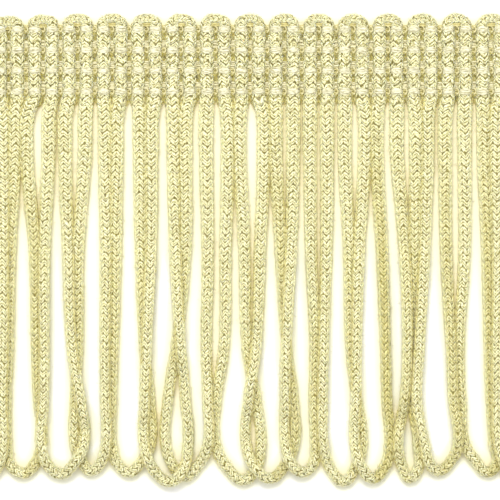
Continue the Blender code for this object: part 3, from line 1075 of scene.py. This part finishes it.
def noise_over(tree, vector, scale, detail=2.0, roughness=0.5):
    """Noise over the vector, with its own scale along each axis."""
    stretch = node(tree, "ShaderNodeMapping", Scale=scale)
    tree.links.new(vector, stretch.inputs["Vector"])
    made = node(tree, "ShaderNodeTexNoise", Scale=1.0, Detail=detail, Roughness=roughness)
    tree.links.new(stretch.outputs["Vector"], made.inputs["Vector"])
    return made.outputs["Fac"]


def color_ramp(tree, source, shades):
    """A colour ramp over the source, through (position, colour) stops."""
    ramp = tree.nodes.new("ShaderNodeValToRGB")
    stops = ramp.color_ramp.elements
    while len(stops) < len(shades):
        stops.new(0.5)
    for stop, (position, color) in zip(stops, shades):
        stop.position = position
        stop.color = (*color, 1)
    tree.links.new(source, ramp.inputs["Fac"])
    return ramp.outputs["Color"]


def mixed(tree, factor, first, second, blend="MIX"):
    """The second colour over the first. Each value is a socket or plain."""
    made = tree.nodes.new("ShaderNodeMix")
    made.data_type = "RGBA"
    made.blend_type = blend
    for value, slot in ((factor, "Factor"), (first, "A"), (second, "B")):
        if isinstance(value, (int, float, tuple)):
            made.inputs[slot].default_value = value
        else:
            tree.links.new(value, made.inputs[slot])
    return made.outputs["Result"]


def add_bump(tree, shader, height, strength, distance):
    bump = node(tree, "ShaderNodeBump", Strength=strength, Distance=distance)
    tree.links.new(height, bump.inputs["Height"])
    tree.links.new(bump.outputs["Normal"], shader.inputs["Normal"])


def stitch_depth(tree, uv):
    """Depth of the yarn in its stitch, 0 to 1, for painted shade and bump, and each stitch's random share.
    """

    def calc(operation, *values):
        return math_of(tree, operation, *values)

    parts = tree.nodes.new("ShaderNodeSeparateXYZ")
    tree.links.new(uv, parts.inputs["Vector"])
    around, along = parts.outputs["X"], parts.outputs["Y"]
    wander = calc("SUBTRACT", noise_over(tree, uv, scale=(1.9, 1.5, 1)), 0.5)
    along = calc("ADD", along, calc("MULTIPLY", wander, LINE_SHIFT))
    seam = calc("PINGPONG", along, 0.5)
    end = calc("PINGPONG", around, 0.5)
    broken = noise_over(tree, uv, scale=(2.6, 3.4, 1), detail=3.0)
    uneven = calc("MULTIPLY", calc("SUBTRACT", broken, LINE_BROKEN_BELOW), LINE_UNEVENNESS)

    # Painted shade in the grooves: a line between courses, a dot where the arms of stitches meet, and a
    # fainter line between the two plies of an arm
    line = faded(tree, calc("SUBTRACT", seam, uneven), 0.0, LINE_FADE)
    across = calc("POWER", calc("MULTIPLY", end, DOT_TIGHTNESS[0]), 2.0)
    up = calc("POWER", calc("MULTIPLY", seam, DOT_TIGHTNESS[1]), 2.0)
    far = calc("SQRT", calc("ADD", across, up))
    dot = faded(tree, calc("ADD", far, calc("MULTIPLY", broken, DOT_BROKEN)), *DOT_EDGE)
    middle = calc("ADD", calc("SUBTRACT", 0.5, seam), uneven)
    ply = faded(tree, middle, 0.0, PLY_LINE_FADE)
    depth = calc("MAXIMUM", calc("MULTIPLY", line, LINE_DEPTH), dot)
    depth = calc("MAXIMUM", depth, calc("MULTIPLY", ply, PLY_LINE_DEPTH))

    cell = tree.nodes.new("ShaderNodeCombineXYZ")
    tree.links.new(calc("FLOOR", around), cell.inputs["X"])
    tree.links.new(calc("FLOOR", calc("MULTIPLY", along, 2.0)), cell.inputs["Y"])
    chance = tree.nodes.new("ShaderNodeTexWhiteNoise")
    chance.noise_dimensions = "2D"
    tree.links.new(cell.outputs["Vector"], chance.inputs["Vector"])
    return depth, chance.outputs["Value"]


def cord_material():
    """Rayon yarn: cream and glossy, with painted olive-gold shade in grooves and deep yarn, and fine
    filaments.

    Between two cords it gives a little light of its own, which stands for the light through the yarn.
    """
    material, tree, shader = new_material("rayon_cord")
    material.cycles.emission_sampling = "NONE"
    set_inputs(shader, Roughness=0.36, Sheen_Weight=0.15, Sheen_Roughness=0.4, Subsurface_Weight=0.35)
    set_inputs(shader, Subsurface_Radius=(1.0, 0.8, 0.35), Subsurface_Scale=1.0 * MM)

    stitches = tree.nodes.new("ShaderNodeUVMap")
    stitches.uv_map = "stitches"
    uv = stitches.outputs["UV"]
    depth, chance = stitch_depth(tree, uv)
    knitted = math_of(tree, "SUBTRACT", 1.0, share_of(tree, "smooth"))
    depth = math_of(tree, "MULTIPLY", depth, knitted)
    # Painted shade: the grooves and drawn lines darken, cream on the lit crests, golden where the yarn lies
    # deep
    groove_shade = math_of(tree, "MULTIPLY", share_of(tree, "groove_shade"), GROOVE_SHADE_STRENGTH)
    shade = math_of(tree, "MAXIMUM", groove_shade, depth)
    cream = color_ramp(tree, shade, CREAM_WITH_GROOVE_SHADE)
    gold = color_ramp(tree, shade, GOLD_PAINTED_DEEP_SHADE)
    yarn = mixed(tree, share_of(tree, "gold"), cream, gold)

    filaments = noise_over(tree, uv, scale=(0.9, 5.5, 1), detail=3.0, roughness=0.6)
    yarn = mixed(tree, STREAKS_SHOW, yarn, color_ramp(tree, filaments, STREAKS), "MULTIPLY")
    specks = noise_over(tree, uv, scale=(3.6, 5.6, 1), detail=0.0)
    pressed = math_of(tree, "MULTIPLY", share_of(tree, "heading"), SPECKS_SHOW_PRESSED)
    specks_show = math_of(tree, "MULTIPLY", knitted, math_of(tree, "ADD", pressed, SPECKS_SHOW))
    yarn = mixed(tree, specks_show, yarn, color_ramp(tree, specks, SPECKS), "MULTIPLY")
    tints_show = math_of(tree, "MULTIPLY", knitted, STITCH_TINTS_SHOW)
    yarn = mixed(tree, tints_show, yarn, color_ramp(tree, chance, STITCH_TINTS), "MULTIPLY")
    # Painted light on sides that stand against the open table
    bounce_light_shows = math_of(tree, "MULTIPLY", share_of(tree, "edge"), OPEN_SIDE_LIGHT_SHOWS)
    yarn = mixed(tree, bounce_light_shows, yarn, OPEN_SIDE_PAINTED_LIGHT)
    tree.links.new(yarn, shader.inputs["Base Color"])
    through = color_ramp(tree, share_of(tree, "between"), BETWEEN_LIGHT)
    tree.links.new(through, shader.inputs["Emission Color"])
    set_inputs(shader, Emission_Strength=1.0)

    grooves = math_of(tree, "MULTIPLY", depth, 1.2)
    relief = math_of(tree, "SUBTRACT", filaments, grooves)
    add_bump(tree, shader, relief, strength=0.9, distance=0.15 * MM)
    return material


def thread_material():
    """Lustrous chain thread, whiter than the cord, with filaments, and painted golden shade where deep."""
    material, tree, shader = new_material("chain_thread")
    set_inputs(shader, Roughness=0.35, Sheen_Weight=0.2)
    coords = tree.nodes.new("ShaderNodeTexCoord")
    filaments = noise_over(tree, coords.outputs["Object"], scale=(1100, 3800, 2500), detail=3.0)
    lit = color_ramp(tree, filaments, THREAD_SHADES)
    deep = color_ramp(tree, filaments, THREAD_PAINTED_DEEP_SHADE)
    # Painted golden shade where the thread lies deep
    tree.links.new(mixed(tree, share_of(tree, "gold"), lit, deep), shader.inputs["Base Color"])
    add_bump(tree, shader, filaments, strength=0.6, distance=0.08 * MM)
    return material


def table_material():
    """White, with painted warm shade near the yarn and a painted glow in slits, for light through the yarn.
    """
    material, tree, shader = new_material("white_table")
    material.cycles.emission_sampling = "NONE"
    set_inputs(shader, Roughness=0.9, Emission_Strength=1.0)
    openness = node(tree, "ShaderNodeAmbientOcclusion", Distance=TABLE_REACH).outputs["AO"]
    # Painted shade where the table lies less open, and a painted glow in narrow slits
    tree.links.new(color_ramp(tree, openness, TABLE_PAINTED_SHADE), shader.inputs["Base Color"])
    tree.links.new(color_ramp(tree, openness, TABLE_LIGHT), shader.inputs["Emission Color"])
    return material


def add_stage():
    bpy.ops.mesh.primitive_plane_add(size=TABLE_SIZE)
    floor = bpy.context.object
    floor.name = "table"
    floor.data.materials.append(table_material())


def add_lights():
    world = bpy.data.worlds.new("white_room")
    world.use_nodes = True
    set_inputs(world.node_tree.nodes["Background"], Color=(1, 1, 1, 1), Strength=ROOM_STRENGTH)
    bpy.context.scene.world = world

    data = bpy.data.lights.new("soft_top", "AREA")
    data.size = LAMP_SIZE
    data.energy = LAMP_POWER
    light = bpy.data.objects.new("soft_top", data)
    light.location = LAMP_PLACE
    bpy.context.scene.collection.objects.link(light)
    towards_trim = -light.location
    light.rotation_euler = towards_trim.to_track_quat("-Z", "Y").to_euler()


def add_camera():
    data = bpy.data.cameras.new("camera")
    data.sensor_width = SENSOR
    data.lens = LENS
    data.clip_start = CLIP_START
    camera = bpy.data.objects.new("camera", data)
    camera.location = (0, 0, FRAME_SIDE * LENS / SENSOR + IN_FOCUS_HEIGHT)
    bpy.context.scene.collection.objects.link(camera)
    bpy.context.scene.camera = camera


def main():
    add_camera()
    add_stage()
    add_lights()
    knitted_pieces()
    threads = thread_material()
    for number in range(len(ROW_NAMES)):
        chain_threads(number, threads)
    bpy.context.scene.view_settings.view_transform = "Standard"


main()
